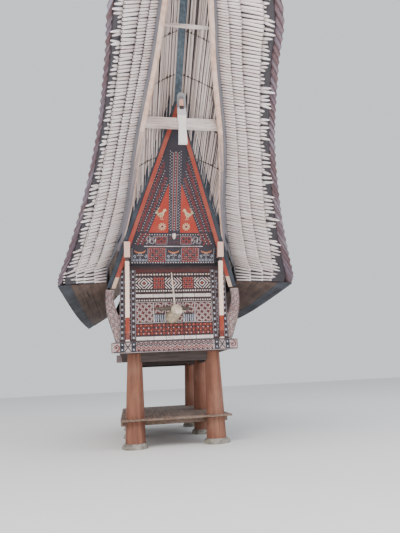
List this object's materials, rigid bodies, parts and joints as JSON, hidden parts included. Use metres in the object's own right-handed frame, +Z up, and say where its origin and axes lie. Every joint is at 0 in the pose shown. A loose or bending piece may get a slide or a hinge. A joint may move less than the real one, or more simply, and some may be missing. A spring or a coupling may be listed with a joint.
{
  "type": "tongkonan rice barn house",
  "caption": "Raised timber store on round pillars with carved walls, leaning gables and a long upswept bamboo saddle roof.",
  "frame": {"origin": "on the ground under the middle of the ridge, at the centre of the plan", "axes": "+X to the right seen from the front, +Y along the ridge from front to back, +Z up"},
  "size_m": [4.96, 15.8464, 11.0149],
  "materials": {
    "pillar_wood": "satin",
    "foundation_stone": "rough",
    "dark_timber": "matte",
    "carved_wood": "carved and painted, matte",
    "pale_carved_wood": "carved, weathered",
    "strut_wood": "painted, weathered",
    "red_paint": "painted, matte",
    "dark_paint": "painted, matte",
    "weathered_wood": "bare, weathered",
    "verge_wood": "bare, satin",
    "bamboo": "bare, weathered",
    "head_wood": "carved, weathered",
    "bone": "matte"
  },
  "bodies": {
    "root": {"foundation_stone_front_left": "foundation_stone", "pillar_front_left": "pillar_wood", "foundation_stone_front_right": "foundation_stone", "pillar_front_right": "pillar_wood", "head_beam_front": "dark_timber", "foundation_stone_middle_left": "foundation_stone", "pillar_middle_left": "pillar_wood", "foundation_stone_middle_right": "foundation_stone", "pillar_middle_right": "pillar_wood", "head_beam_middle": "dark_timber", "foundation_stone_back_left": "foundation_stone", "pillar_back_left": "pillar_wood", "foundation_stone_back_right": "foundation_stone", "pillar_back_right": "pillar_wood", "head_beam_back": "dark_timber", "floor_beam_left": "dark_timber", "side_wall_left": "carved_wood", "roof_slope_left": "bamboo", "floor_beam_right": "dark_timber", "side_wall_right": "carved_wood", "roof_slope_right": "bamboo", "sitting_platform": "dark_timber", "store_floor": "dark_timber", "ridge_beam": "dark_timber", "end_wall_front": "carved_wood", "sill_board_front": "pale_carved_wood", "corner_board_front_left": "pale_carved_wood", "gable_strut_front_left": "strut_wood", "corner_board_front_right": "pale_carved_wood", "gable_strut_front_right": "strut_wood", "gable_tie_beam_front": "dark_timber", "gable_panel_front": "carved_wood", "red_rake_boards_front": "red_paint", "dark_rake_boards_front": "dark_paint", "overhang_crossbeam_front": "weathered_wood", "hanger_post_front": "weathered_wood", "overhang_tie_bar_front": "weathered_wood", "verge_boards_front": "verge_wood", "end_wall_back": "carved_wood", "sill_board_back": "pale_carved_wood", "corner_board_back_left": "pale_carved_wood", "gable_strut_back_left": "strut_wood", "corner_board_back_right": "pale_carved_wood", "gable_strut_back_right": "strut_wood", "gable_tie_beam_back": "dark_timber", "gable_panel_back": "carved_wood", "red_rake_boards_back": "red_paint", "dark_rake_boards_back": "dark_paint", "overhang_crossbeam_back": "weathered_wood", "hanger_post_back": "weathered_wood", "overhang_tie_bar_back": "weathered_wood", "verge_boards_back": "verge_wood", "buffalo_head": "head_wood", "leaning_pole": "weathered_wood", "gable_skull": "bone"}
  },
  "joints": []
}
